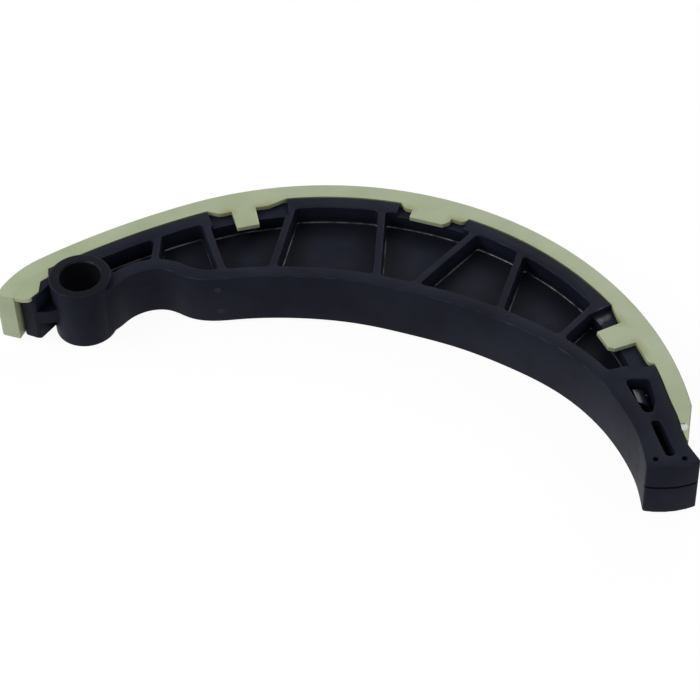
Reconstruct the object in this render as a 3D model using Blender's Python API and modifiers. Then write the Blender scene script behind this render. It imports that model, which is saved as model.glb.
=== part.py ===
"""Timing chain guide, lying on its side: a carrier and the slide shoe clipped over it.

The carrier is one black nylon moulding: a pivot boss with a plain bore, a ribbed curved rail
and a square foot.  The shoe is one pale nylon moulding: a strip that the chain runs along, with
a hook at the nose and three clips on each side that drop into recesses of the rail.

Every place along the guide is given as a station, the distance run along the shoe's running
face from its nose end, and a depth below that face.  So all features follow the face when a
radius or a wall changes.  Plan sizes are in millimetres about the pivot, with +X towards the
foot, and heights are measured from the middle plane of the rail, about which all is mirrored.
"""

from math import atan2, cos, hypot, pi, radians, sin, tan

import bmesh
import bpy
import numpy as np

MM = 0.001

# Running face: three tangent arcs from the nose end to the tail, as radius and sweep in degrees
NOSE_RADIUS, NOSE_SWEEP = 29.0, 37.0
LEAD_RADIUS, LEAD_SWEEP = 212.0, 13.0
CROWN_RADIUS, CROWN_SWEEP = 103.0, 105.5
TAIL_LENGTH = 12.4
TAIL_TIP = 0.4

# Rail and shoe sections
RAIL_WIDTH = 16.5
SHOE_THICKNESS = 5.5
SEAT_GAP = 0.3
OUTER_WALL = 4.4
CLIP_WALL_EXTRA = 1.6
INNER_WALL = 4.3
RIB_THICKNESS = 2.1
WEB_THICKNESS = 4.5
LAST_WALL_BEFORE_END = 19.2
POCKET_CORNER = 1.3
FLOOR_FILLET = 0.6
FILLET_MIDDLE = 0.3
EDGE_CHAMFER = 0.35
RUNNING_EDGE_CHAMFER = 0.6

# Pivot boss, whose rim just clears the seat of the shoe
PIVOT_PAST_NOSE_ARC = 5.5
BORE_DIAMETER = 12.0
BORE_CHAMFER = 0.45
BOSS_WALL = 3.0
BOSS_PROUD = 1.75
BOSS_CLEARANCE = 0.3
BOSS_FILLET_WALL = 0.6

# Foot
FOOT_LENGTH = 20.3
FOOT_DEPTH = 16.4
FOOT_FLARE = 4.1
FOOT_FLARE_LENGTH = 26.3
FOOT_FLARE_RISE = ((0.0, 0.0), (0.15, 0.06), (0.35, 0.21), (0.55, 0.28), (0.72, 0.4), (0.87, 0.7), (1.0, 1.0))
FOOT_CORNER = 0.8
FOOT_END_BULGE = 1.2
FOOT_GROOVE_WIDTH = 0.7
FOOT_GROOVE_DEPTH = 0.9
PIN_HOLE_DIAMETER = 1.6
PIN_HOLE_DEPTH = 3.0
PIN_HOLES_PAST_FACE = ((18.0, 13.5), (18.7, 5.9))

# Ribs as stations of their outer and inner ends, from the nose: a share of the way from the pivot
# to the crown, past the crown's start, shares of the crown, and before the face's end
RIB_LEAD_SHARES = (0.676, 0.512)
RIB_PAST_CROWN_START = (1.8, -0.6)
RIB_CROWN_SHARES = ((0.1622, 0.0947), (0.3188, 0.3605), (0.4881, 0.4375), (0.5809, 0.6653))
RIB_BEFORE_FACE_END = (46.7, 38.5)

# Nose: the carrier's finger behind the boss, the web between them and the shoe's flange over both
FINGER_STATION = 2.4
FINGER_THICKNESS = 4.5
FINGER_CORNER = 1.6
NOSE_WEB_REACH = 14.3
NOSE_WEB_SLOPE = 0.9
NOSE_FLANGE = (
    (0.3, 2.5, 0.8), (1.4, 4.5, 1.2), (4.6, 5.4, 1.0), (7.2, 5.4, 1.0), (12.4, 2.8, 0.8), (16.4, 3.0, 0.8),
)
NOSE_FLANGE_END = 18.5

# Clips of the shoe, from the nose: a pad beside the strip, and a tab that reaches over the wall;
# a long tab passes a thicker wall and has a barb behind it
FLANGE_THICKNESS = 1.3
FLANGE_SET_BACK = 0.1
FLANGE_SINK = 1.2
BARB_THICKNESS = 1.5
BARB_TIP = 0.5
BARB_DROP = 1.3
BARB_INSET = 0.7
CLIP_1_PAST_CROWN_START = 4.2
CLIP_1_END_SHARE = 0.1543
CLIP_2_SHARES = (0.3468, 0.4649)
CLIP_3_BEFORE_FACE_END = (43.9, 17.3)
CLIP_PADS = (2.4, 2.1, 1.6)
CLIP_RAMPS_IN = (3.4, 1.7, 5.4)
CLIP_RAMPS_OUT = (6.0, 0.5, 0.9)
CLIP_TAB_OFFSETS = (7.2, 4.2, 7.4)
CLIP_TAB_WIDTHS = (7.8, 13.1, 9.2)
CLIP_REACHES = (9.9, 5.4, 9.5)
CLIP_BEVELS = (0.0, 1.8, 1.5)
CLIP_IS_LONG = (True, False, True)
POCKETS_BEHIND_LONG_TABS = (2, 7)
PAD_CORNER = 2.4
TAB_CORNER = 0.3

# Tail of the shoe
TAIL_NOTCH = (6.2, 8.9)
TAIL_NOTCH_BED = 3.3
TAIL_NOTCH_DEPTH = 1.5

# Depth of the concave side below the running face: past the pivot, at shares of the way from
# there to the crown, at shares of the crown, and before or past the face's end
CONCAVE_PAST_PIVOT = ((2.1, 23.6), (7.8, 22.9), (11.8, 21.6), (15.8, 21.0))
CONCAVE_LEAD_SHARES = (0.488, 0.596, 0.699, 0.840)
CONCAVE_AT_LEAD_SHARES = (21.6, 24.0, 29.2, 33.1)
CONCAVE_SHARES = (0.022, 0.136, 0.320, 0.449, 0.573, 0.694)
CONCAVE_AT_SHARES = (35.9, 38.9, 41.0, 40.7, 38.0, 33.7)
CONCAVE_PAST_FACE = ((-36.2, 27.7), (-11.6, 21.1), (4.0, 17.4))

# Two short hollows between the last pocket and the foot, past the face's end; a block stands in
# the first
SMALL_POCKET = ((-11.9, 8.9), (-2.9, 9.4), (1.3, 11.0), (0.9, 13.2), (-7.5, 14.9), (-13.9, 15.6))
SMALL_PAD = ((-10.9, 10.6), (-4.0, 10.7), (-5.2, 13.6), (-10.7, 13.9))
SMALL_PAD_DROP = 2.6
SMALL_PAD_CHAMFER = 0.4
FOOT_SLOT = ((4.2, 11.0), (17.3, 9.2))
FOOT_SLOT_WIDTH = 2.7

# Roundness of the faceted curves
NOSE_FACETS, LEAD_FACETS, CROWN_FACETS = 6, 7, 42
CONCAVE_FACETS = 62
FLARE_FACETS = 14
FACET_MARGIN = 1.8
TURNED_FACETS = 48

CARRIER_EDGE = SHOE_THICKNESS + SEAT_GAP
POCKET_EDGE = CARRIER_EDGE + OUTER_WALL
RECESS_DEPTH = FLANGE_SET_BACK + FLANGE_THICKNESS + SEAT_GAP
BORE_RADIUS = BORE_DIAMETER / 2
BOSS_RADIUS = BORE_RADIUS + BOSS_WALL
PIVOT_DEPTH = CARRIER_EDGE + BOSS_RADIUS + BOSS_CLEARANCE
HALF_RAIL = RAIL_WIDTH / 2
HALF_BOSS = HALF_RAIL + BOSS_PROUD
OVERSHOOT = 1.5
CUT_HEIGHT = HALF_BOSS + OVERSHOOT


def running_arcs():
    """The running face's arcs as (start station, end station, start point, heading, radius)."""
    arcs = []
    station, point, heading = 0.0, (0.0, 0.0), radians(96.0)
    for radius, sweep in ((NOSE_RADIUS, NOSE_SWEEP), (LEAD_RADIUS, LEAD_SWEEP), (CROWN_RADIUS, CROWN_SWEEP)):
        length = radius * radians(sweep)
        arcs.append((station, station + length, point, heading, radius))
        turned = heading - radians(sweep)
        point = (
            point[0] + radius * (sin(heading) - sin(turned)),
            point[1] + radius * (cos(turned) - cos(heading)),
        )
        station, heading = station + length, turned
    return arcs


ARCS = running_arcs()
FACE_END = ARCS[-1][1]
PIVOT_STATION = ARCS[0][1] + PIVOT_PAST_NOSE_ARC


def crown(share):
    """Station at a share of the crown's length."""
    start, end = ARCS[-1][:2]
    return start + (end - start) * share


def lead(share):
    """Station at a share of the way from the pivot to the crown."""
    return PIVOT_STATION + (ARCS[-1][0] - PIVOT_STATION) * share


def ribs():
    """Stations of each rib's outer and inner end."""
    first, second, last = RIB_LEAD_SHARES, RIB_PAST_CROWN_START, RIB_BEFORE_FACE_END
    stations = [(lead(first[0]), lead(first[1])), (crown(0.0) + second[0], crown(0.0) + second[1])]
    stations += [(crown(outer), crown(inner)) for outer, inner in RIB_CROWN_SHARES]
    return stations + [(FACE_END - last[0], FACE_END - last[1])]


def clips():
    """The shoe's clips, as dictionaries of sizes and places."""
    spans = (
        (crown(0.0) + CLIP_1_PAST_CROWN_START, crown(CLIP_1_END_SHARE)),
        (crown(CLIP_2_SHARES[0]), crown(CLIP_2_SHARES[1])),
        (FACE_END - CLIP_3_BEFORE_FACE_END[0], FACE_END - CLIP_3_BEFORE_FACE_END[1]),
    )
    result = []
    for i, (start, end) in enumerate(spans):
        tab_in = start + CLIP_TAB_OFFSETS[i]
        result.append({
            "start": start, "end": end, "pad": CLIP_PADS[i], "ramps": (CLIP_RAMPS_IN[i], CLIP_RAMPS_OUT[i]),
            "tab": (tab_in, tab_in + CLIP_TAB_WIDTHS[i]), "reach": CLIP_REACHES[i], "bevel": CLIP_BEVELS[i],
            "long": CLIP_IS_LONG[i], "wall": POCKET_EDGE + (CLIP_WALL_EXTRA if CLIP_IS_LONG[i] else 0.0),
        })
    return result


def face_frame(station):
    """Point and heading of the running face; past either end it runs on straight."""
    for start, end, point, heading, radius in ARCS:
        if station <= end:
            break
    along = min(max(station, start), end) - start
    turned = heading - along / radius
    x = point[0] + radius * (sin(heading) - sin(turned))
    y = point[1] + radius * (cos(turned) - cos(heading))
    beyond = station - start - along
    return x + beyond * cos(turned), y + beyond * sin(turned), turned


def raw_place(station, depth):
    """Plan point before the guide is set level on its pivot and foot."""
    x, y, heading = face_frame(station)
    return x + depth * sin(heading), y - depth * cos(heading)


FOOT_STATION = FACE_END + FOOT_LENGTH
RAW_PIVOT = raw_place(PIVOT_STATION, PIVOT_DEPTH)
RAW_FOOT = raw_place(FOOT_STATION, (CARRIER_EDGE - FOOT_FLARE + FOOT_DEPTH) / 2)
LEVEL = -atan2(RAW_FOOT[1] - RAW_PIVOT[1], RAW_FOOT[0] - RAW_PIVOT[0])


def place(station, depth):
    """Plan point about the pivot, with +X towards the middle of the foot."""
    x, y = raw_place(station, depth)
    x, y = x - RAW_PIVOT[0], y - RAW_PIVOT[1]
    return x * cos(LEVEL) - y * sin(LEVEL), x * sin(LEVEL) + y * cos(LEVEL)


def face_stations(first, last):
    """The shared facet stations between two stations, with both ends."""
    grid = []
    for (start, end, *_), facets in zip(ARCS, (NOSE_FACETS, LEAD_FACETS, CROWN_FACETS)):
        grid += [start + (end - start) * i / facets for i in range(facets)]
    grid.append(FACE_END)
    return [first] + [s for s in grid if first + FACET_MARGIN < s < last - FACET_MARGIN] + [last]


def face_edge(first, last, depth):
    """An edge that runs along the guide at one depth."""
    return [place(s, depth) for s in face_stations(first, last)]


def smooth_curve(points, count):
    """A natural cubic spline through the points, as count even steps."""
    knots = np.array(points, float)
    steps = np.hypot(*np.diff(knots, axis=0).T)
    where = np.concatenate([[0.0], np.cumsum(steps)])
    n = len(knots)
    matrix, right = np.eye(n), np.zeros((n, 2))
    for i in range(1, n - 1):
        matrix[i, i - 1 : i + 2] = steps[i - 1], 2 * (steps[i - 1] + steps[i]), steps[i]
        slopes = (knots[i + 1] - knots[i]) / steps[i] - (knots[i] - knots[i - 1]) / steps[i - 1]
        right[i] = 6 * slopes
    bend = np.linalg.solve(matrix, right)
    curve = []
    for along in np.linspace(0.0, where[-1], count + 1):
        i = min(int(np.searchsorted(where, along, side="right")) - 1, n - 2)
        a, b = where[i + 1] - along, along - where[i]
        h = steps[i]
        value = (bend[i] * a**3 + bend[i + 1] * b**3) / (6 * h)
        value = value + (knots[i] / h - bend[i] * h / 6) * a + (knots[i + 1] / h - bend[i + 1] * h / 6) * b
        curve.append((float(value[0]), float(value[1])))
    return curve


def arc(centre, radius, first, last, facets):
    """Points of an arc between two angles in radians."""
    turns = [first + (last - first) * i / facets for i in range(facets + 1)]
    return [(centre[0] + radius * cos(a), centre[1] + radius * sin(a)) for a in turns]


def shifted(points, distance):
    """An open edge moved sideways to its left."""
    moved = []
    for i, (x, y) in enumerate(points):
        x0, y0 = points[max(i - 1, 0)]
        x1, y1 = points[min(i + 1, len(points) - 1)]
        length = hypot(x1 - x0, y1 - y0)
        moved.append((x - distance * (y1 - y0) / length, y + distance * (x1 - x0) / length))
    return moved


def inset(outline, distance):
    """A closed anticlockwise outline moved inwards, or outwards with a negative distance."""
    moved = []
    for i, (x, y) in enumerate(outline):
        x0, y0 = outline[i - 1]
        x1, y1 = outline[(i + 1) % len(outline)]
        before = ((x - x0) / hypot(x - x0, y - y0), (y - y0) / hypot(x - x0, y - y0))
        after = ((x1 - x) / hypot(x1 - x, y1 - y), (y1 - y) / hypot(x1 - x, y1 - y))
        normal = (-before[1] - after[1], before[0] + after[0])
        reach = 2 * distance / max(normal[0] ** 2 + normal[1] ** 2, 0.8)
        moved.append((x + normal[0] * reach, y + normal[1] * reach))
    return moved


def corner_turn(outline, i):
    """Directions before and after a point of a closed outline, their lengths and the turn."""
    x, y = outline[i][:2]
    x0, y0 = outline[i - 1][:2]
    x1, y1 = outline[(i + 1) % len(outline)][:2]
    before, after = hypot(x - x0, y - y0), hypot(x1 - x, y1 - y)
    u, v = ((x - x0) / before, (y - y0) / before), ((x1 - x) / after, (y1 - y) / after)
    turn = atan2(u[0] * v[1] - u[1] * v[0], u[0] * v[0] + u[1] * v[1])
    return u, v, before, after, turn


def rounded(outline, radius, least_turn=20.0, facets=3):
    """A closed outline with its sharp corners rounded; a point may carry its own radius."""
    corners = []
    for i, point in enumerate(outline):
        turn = corner_turn(outline, i)[-1]
        sharp = abs(turn) > radians(least_turn)
        corner = point[2] if len(point) > 2 else radius
        corners.append((point[0], point[1], corner if sharp else 0.0, sharp))
    reaches = [(x, y, r * 1.7) for x, y, r, sharp in corners if r > 0]
    near = lambda p: any(hypot(p[0] - x, p[1] - y) < reach for x, y, reach in reaches)
    corners = [p for p in corners if p[3] or not near(p)]
    result = []
    for i, (x, y, corner, sharp) in enumerate(corners):
        u, v, before, after, turn = corner_turn(corners, i)
        if corner <= 0:
            result.append((x, y))
            continue
        reach = min(corner * tan(abs(turn) / 2), 0.45 * before, 0.45 * after)
        fitted = reach / tan(abs(turn) / 2)
        side = 1 if turn > 0 else -1
        start = (x - u[0] * reach, y - u[1] * reach)
        centre = (start[0] - side * u[1] * fitted, start[1] + side * u[0] * fitted)
        first = atan2(start[1] - centre[1], start[0] - centre[0])
        result += arc(centre, fitted, first, first + turn, facets)
    return result


def anticlockwise(outline):
    """The outline in anticlockwise order."""
    area = sum(outline[i - 1][0] * p[1] - p[0] * outline[i - 1][1] for i, p in enumerate(outline))
    return list(outline) if area > 0 else list(reversed(outline))


def stretch(points, inside):
    """The stretch of an edge where the function inside is positive, cut exactly at its ends."""
    result = []
    values = [inside(p) for p in points]
    for i, point in enumerate(points):
        if i and (values[i] > 0) != (values[i - 1] > 0):
            share = values[i - 1] / (values[i - 1] - values[i])
            x0, y0 = points[i - 1]
            result.append((x0 + (point[0] - x0) * share, y0 + (point[1] - y0) * share))
        if values[i] > 0:
            result.append(point)
    return result


def right_of(start, end, gap=0.0):
    """A function that is positive for points further than gap on the right of a line."""
    length = hypot(end[0] - start[0], end[1] - start[1])
    ux, uy = (end[0] - start[0]) / length, (end[1] - start[1]) / length
    return lambda p: (p[0] - start[0]) * uy - (p[1] - start[1]) * ux - gap


def concave_knots():
    """Station and depth of the concave side, from inside the boss to the foot."""
    knots = [(PIVOT_STATION + s, d) for s, d in CONCAVE_PAST_PIVOT]
    knots += [(lead(share), d) for share, d in zip(CONCAVE_LEAD_SHARES, CONCAVE_AT_LEAD_SHARES)]
    knots += [(crown(share), d) for share, d in zip(CONCAVE_SHARES, CONCAVE_AT_SHARES)]
    return knots + [(FACE_END + s, d) for s, d in CONCAVE_PAST_FACE]


def concave_edge():
    """The rail's concave side, from inside the boss to the foot's corner."""
    points = [place(*knot) for knot in concave_knots()]
    points += [place(FACE_END + FOOT_LENGTH / 2, FOOT_DEPTH), place(FOOT_STATION, FOOT_DEPTH)]
    return smooth_curve(points, CONCAVE_FACETS)


def flare_knots():
    """Station and depth of the rail's outer side from the end of its arc to the foot's corner."""
    first = FOOT_STATION - FOOT_FLARE_LENGTH
    return [(first + FOOT_FLARE_LENGTH * u, CARRIER_EDGE - FOOT_FLARE * v) for u, v in FOOT_FLARE_RISE]


def flare_edge(lift=0.0):
    """The flare's edge in plan, lifted off the rail by a gap."""
    return [place(s, d - lift) for s, d in smooth_curve(flare_knots(), FLARE_FACETS)]


def trimmed(points, distance):
    """An edge without the points that lie too near its last one to round the corner there."""
    x, y = points[-1]
    return [p for p in points[:-1] if hypot(p[0] - x, p[1] - y) > distance] + [points[-1]]


def foot_end():
    """Points of the foot's gently bulging end face, without its two corners."""
    first, last = CARRIER_EDGE - FOOT_FLARE, FOOT_DEPTH
    shares = (0.2, 0.4, 0.6, 0.8)
    bulge = lambda u: FOOT_END_BULGE * 4 * u * (1 - u)
    return [place(FOOT_STATION + bulge(u), first + (last - first) * u) for u in shares]


def carrier_outline():
    """The carrier seen along the pivot, anticlockwise, without its boss."""
    outer = face_edge(FINGER_STATION, FOOT_STATION - FOOT_FLARE_LENGTH, CARRIER_EDGE)
    flare = trimmed(flare_edge(), FOOT_CORNER * 1.5)[1:]
    concave = list(reversed(trimmed(concave_edge(), FOOT_CORNER * 1.5)))
    inner_depth = CARRIER_EDGE + FINGER_THICKNESS
    web_front = place(FINGER_STATION + (NOSE_WEB_REACH - inner_depth) * NOSE_WEB_SLOPE, NOSE_WEB_REACH)
    tip = place(FINGER_STATION, inner_depth)
    corners = [(*outer[0], FINGER_CORNER)] + [(*p, 0) for p in outer[1:] + flare[:-1]]
    corners += [(*flare[-1], FOOT_CORNER)] + [(*p, 0) for p in foot_end()]
    corners += [(*concave[0], FOOT_CORNER)] + [(*p, 0) for p in concave[1:]]
    corners += [(0.0, -BOSS_RADIUS / 2, 0), (*web_front, 0), (*tip, FINGER_CORNER)]
    return anticlockwise(rounded(corners, 0.0, facets=4))


def collection(name):
    """A new collection of the scene."""
    made = bpy.data.collections.new(name)
    bpy.context.scene.collection.children.link(made)
    return made


def new_object(name, mesh, group, parent):
    """An object in a collection, placed by its parent."""
    made = bpy.data.objects.new(name, mesh)
    group.objects.link(made)
    made.parent = parent
    return made


def stacked(name, layers, group, parent):
    """A solid lofted up through layers of (outline, height or heights), all with as many points."""
    mesh = bpy.data.meshes.new(name)
    bm = bmesh.new()
    rings = []
    for outline, height in layers:
        heights = height if isinstance(height, list) else [height] * len(outline)
        rings.append([bm.verts.new((x * MM, y * MM, z * MM)) for (x, y), z in zip(outline, heights)])
    bm.faces.new(reversed(rings[0]))
    bm.faces.new(rings[-1])
    for lower, upper in zip(rings, rings[1:]):
        for i in range(len(lower)):
            bm.faces.new((lower[i - 1], lower[i], upper[i], upper[i - 1]))
    bmesh.ops.triangulate(bm, faces=[face for face in bm.faces if len(face.verts) == 4])
    bm.to_mesh(mesh)
    bm.free()
    return new_object(name, mesh, group, parent)


def turned(name, profile, group, parent):
    """A solid of revolution about the pivot from (radius, height) points, top to bottom."""
    mesh = bpy.data.meshes.new(name)
    points = [(r * MM, 0.0, z * MM) for r, z in profile]
    mesh.from_pydata(points, [(i, i + 1) for i in range(len(points) - 1)], [])
    made = new_object(name, mesh, group, parent)
    screw = made.modifiers.new("turn", "SCREW")
    screw.axis = "Z"
    screw.angle = 2 * pi
    screw.steps = screw.render_steps = TURNED_FACETS
    screw.use_merge_vertices = True
    screw.merge_threshold = 0.00001
    return made


def mirrored(made):
    """Repeats a solid on the other side of the rail's middle plane."""
    mirror = made.modifiers.new("other side", "MIRROR")
    mirror.use_axis = (False, False, True)
    mirror.use_mirror_merge = False
    mirror.merge_threshold = 0.00001
    return made


def boolean(body, tool, operation):
    """Cuts or joins with the exact solver."""
    step = body.modifiers.new(f"{operation.lower()} {tool.name}", "BOOLEAN")
    step.operation = operation
    step.solver = "EXACT"
    step.object = tool
    tool.hide_render = True
    tool.display_type = "WIRE"


def rib_lines():
    """Each rib's centre line, from the outer wall to the concave side."""
    stations, depths = zip(*concave_knots())
    return [(place(a, POCKET_EDGE), place(b, float(np.interp(b, stations, depths)))) for a, b in ribs()]


def pocket_outlines():
    """Outlines of the large pockets between the walls, the boss, the ribs and the last wall."""
    inner = shifted(concave_edge(), INNER_WALL)
    half = RIB_THICKNESS / 2
    lines = rib_lines()
    around_boss = BOSS_RADIUS + BOSS_FILLET_WALL
    last_station = FACE_END - LAST_WALL_BEFORE_END
    last = (place(last_station, 0.0), place(last_station, POCKET_EDGE * 2))
    lefts = [lambda p: hypot(*p) - around_boss] + [lambda p, r=r: -right_of(*r)(p) - half for r in lines]
    rights = [lambda p, r=r: right_of(*r)(p) - half for r in lines] + [right_of(*last)]
    outlines = []
    for i, (left, right) in enumerate(zip(lefts, rights)):
        depth = POCKET_EDGE + (CLIP_WALL_EXTRA if i in POCKETS_BEHIND_LONG_TABS else 0.0)
        outer = face_edge(PIVOT_STATION, last_station + OVERSHOOT, depth)
        within = lambda p, left=left, right=right: min(left(p), right(p))
        top, bottom = stretch(outer, within), stretch(inner, within)
        outline = top + list(reversed(bottom))
        if i == 0:
            first = atan2(bottom[0][1], bottom[0][0])
            final = atan2(top[0][1], top[0][0])
            outline += arc((0.0, 0.0), around_boss, first, final, 6)[1:-1]
        outlines.append(anticlockwise(rounded(outline, POCKET_CORNER)))
    return outlines


def small_pocket_outline():
    """The shallow hollow before the foot."""
    return anticlockwise(rounded([place(FACE_END + s, d) for s, d in SMALL_POCKET], POCKET_CORNER))


def foot_slot_outline():
    """The narrow slot in the foot."""
    (s0, d0), (s1, d1) = FOOT_SLOT
    half = FOOT_SLOT_WIDTH / 2
    corners = [(s0, d0 - half), (s0, d0 + half), (s1, d1 + half), (s1, d1 - half)]
    return anticlockwise(rounded([place(FACE_END + s, d) for s, d in corners], POCKET_CORNER))


def recess_outline(clip):
    """The lowered part of the outer wall that takes one clip."""
    first, last = clip["start"] - SEAT_GAP, clip["end"] + SEAT_GAP
    edge = face_edge(first, last, CARRIER_EDGE - OVERSHOOT)
    return anticlockwise(edge + list(reversed(face_edge(first, last, clip["wall"] + RIB_THICKNESS / 2))))


def box_outline(first, last, low, high):
    """A plain outline between two stations and two depths."""
    return anticlockwise([place(s, d) for s, d in ((first, low), (last, low), (last, high), (first, high))])


def barb_outlines(clip):
    """The barb behind one tab, at its root and at its tip."""
    wall = clip["wall"] + SEAT_GAP
    first, last = clip["tab"][0] + BARB_INSET, clip["tab"][1] - clip["bevel"] - BARB_INSET
    return [box_outline(first, last, wall, wall + thickness) for thickness in (BARB_THICKNESS, BARB_TIP)]


def hollow(name, outline, group, parent):
    """A cutter for a hollow of each side down to the web, with a fillet round its floor."""
    floor = WEB_THICKNESS / 2
    layers = [(inset(outline, FLOOR_FILLET), floor)]
    middle = FLOOR_FILLET * FILLET_MIDDLE
    layers.append((inset(outline, middle), floor + middle))
    layers.append((outline, floor + FLOOR_FILLET))
    layers.append((outline, CUT_HEIGHT))
    return mirrored(stacked(name, layers, group, parent))


def nose_flange_outline():
    """The shoe's flange over the carrier's finger, sunk a little into the strip."""
    points = [(*place(s, SHOE_THICKNESS + d), r) for s, d, r in NOSE_FLANGE]
    last, rise, _ = NOSE_FLANGE[-1]
    run = (NOSE_FLANGE_END - last) * (rise + FLANGE_SINK) / rise
    sunk = reversed(face_edge(NOSE_FLANGE[0][0], last + run, SHOE_THICKNESS - FLANGE_SINK))
    return anticlockwise(rounded(points + [(*p, 0) for p in sunk], 0.0))


def clip_outline(clip):
    """One clip of the shoe: the pad beside the strip and the tab that reaches over the wall."""
    ramp_in, ramp_out = clip["ramps"]
    tab_in, tab_out = clip["tab"]
    pad, tip, bevel = SHOE_THICKNESS + clip["pad"], SHOE_THICKNESS + clip["reach"], clip["bevel"]
    corners = [
        (clip["start"] + ramp_in, pad, PAD_CORNER), (tab_in, pad, TAB_CORNER), (tab_in, tip, TAB_CORNER),
        (tab_out - bevel, tip, TAB_CORNER), (tab_out, tip - bevel, TAB_CORNER),
        (tab_out, pad, TAB_CORNER), (clip["end"] - ramp_out, pad, PAD_CORNER),
    ]
    if not bevel:
        del corners[4]
    sink = FLANGE_SINK / clip["pad"]
    first, last = clip["start"] - ramp_in * sink, clip["end"] + ramp_out * sink
    sunk = reversed(face_edge(first, last, SHOE_THICKNESS - FLANGE_SINK))
    points = [(*place(s, d), r) for s, d, r in corners] + [(*p, 0) for p in sunk]
    return anticlockwise(rounded(points, 0.0))


def shoe_outline(chamfer):
    """The strip seen along the pivot: running face, tail, seat and nose end."""
    tail_station = FACE_END + TAIL_LENGTH
    stations, depths = zip(*flare_knots())
    tail_drop = float(np.interp(tail_station, stations, depths)) - SEAT_GAP - TAIL_TIP
    tip = place(tail_station, tail_drop + chamfer / 3)
    past_tip = right_of(place(tail_station, 0.0), place(tail_station, SHOE_THICKNESS))
    lifted = stretch(flare_edge(SEAT_GAP), past_tip)
    seat = list(reversed(face_edge(0.0, FOOT_STATION - FOOT_FLARE_LENGTH, SHOE_THICKNESS)))
    return face_edge(0.0, FACE_END, chamfer) + [tip] + list(reversed(lifted[1:])) + seat


def rail_layers():
    """The rail's layers with chamfered edges; its lower face slopes away to the foot's level."""
    outline, c = carrier_outline(), EDGE_CHAMFER
    small = inset(outline, c)
    nose, foot = min(x for x, _ in outline), max(x for x, _ in outline)
    lower = lambda points: [-HALF_RAIL - BOSS_PROUD * (x - nose) / (foot - nose) for x, _ in points]
    low = [(small, lower(small)), (outline, [z + c for z in lower(outline)])]
    return low + [(outline, HALF_RAIL - c), (small, HALF_RAIL)]


def build_carrier(parts, cutters, root):
    """The black carrier: rail, boss, pockets, recesses and foot."""
    carrier = stacked("carrier", rail_layers(), parts, root)

    finger_side = CARRIER_EDGE + FINGER_THICKNESS
    notch = [place(s, d) for s, d in (
        (-OVERSHOOT, finger_side), (PIVOT_STATION - BORE_RADIUS, finger_side), (PIVOT_STATION, PIVOT_DEPTH),
        (PIVOT_STATION, 2 * PIVOT_DEPTH), (-OVERSHOOT, 2 * PIVOT_DEPTH))]
    notch = anticlockwise(notch)
    layers = [(notch, WEB_THICKNESS / 2), (notch, CUT_HEIGHT)]
    boolean(carrier, mirrored(stacked("nose_notch", layers, cutters, root)), "DIFFERENCE")

    c = EDGE_CHAMFER
    profile = [(0, HALF_BOSS), (BOSS_RADIUS - c, HALF_BOSS), (BOSS_RADIUS, HALF_BOSS - c),
               (BOSS_RADIUS, c - HALF_BOSS), (BOSS_RADIUS - c, -HALF_BOSS), (0, -HALF_BOSS)]
    boolean(carrier, turned("boss", profile, cutters, root), "UNION")

    hollows = [(f"pocket_{i + 1}", pocket) for i, pocket in enumerate(pocket_outlines())]
    hollows += [("small_pocket", small_pocket_outline()), ("foot_slot", foot_slot_outline())]
    for name, outline in hollows:
        boolean(carrier, hollow(name, outline, cutters, root), "DIFFERENCE")
    pad = anticlockwise([place(FACE_END + s, d) for s, d in SMALL_PAD])
    top, c = HALF_RAIL - SMALL_PAD_DROP, SMALL_PAD_CHAMFER
    layers = [(pad, 0.0), (pad, top - c), (inset(pad, c), top)]
    boolean(carrier, mirrored(stacked("small_pad", layers, cutters, root)), "UNION")

    floor, high = HALF_RAIL - RECESS_DEPTH, CUT_HEIGHT
    for i, clip in enumerate(clips()):
        layers = [(recess_outline(clip), floor), (recess_outline(clip), high)]
        boolean(carrier, mirrored(stacked(f"clip_recess_{i + 1}", layers, cutters, root)), "DIFFERENCE")
    flange = inset(nose_flange_outline(), -SEAT_GAP)
    boolean(carrier, stacked("nose_recess", [(flange, floor), (flange, high)], cutters, root), "DIFFERENCE")

    r, c = BORE_RADIUS, BORE_CHAMFER
    wide, top = r + c + OVERSHOOT, CUT_HEIGHT
    profile = [(0, top), (wide, top), (r, HALF_BOSS - c), (r, c - HALF_BOSS), (wide, -top), (0, -top)]
    boolean(carrier, turned("pivot_bore", profile, cutters, root), "DIFFERENCE")

    half = FOOT_GROOVE_WIDTH / 2
    inner, outer = FOOT_STATION - FOOT_GROOVE_DEPTH, FOOT_STATION + 2 * FOOT_END_BULGE
    groove = box_outline(inner, outer, 0.0, 2 * FOOT_DEPTH)
    layers = [(groove, -half), (groove, half)]
    boolean(carrier, stacked("foot_groove", layers, cutters, root), "DIFFERENCE")
    for i, (station, depth) in enumerate(PIN_HOLES_PAST_FACE):
        hole = arc(place(FACE_END + station, depth), PIN_HOLE_DIAMETER / 2, 0.0, 2 * pi, 12)[:-1]
        layers = [(hole, HALF_RAIL - PIN_HOLE_DEPTH), (hole, high)]
        boolean(carrier, mirrored(stacked(f"pin_hole_{i + 1}", layers, cutters, root)), "DIFFERENCE")
    return carrier


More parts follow.
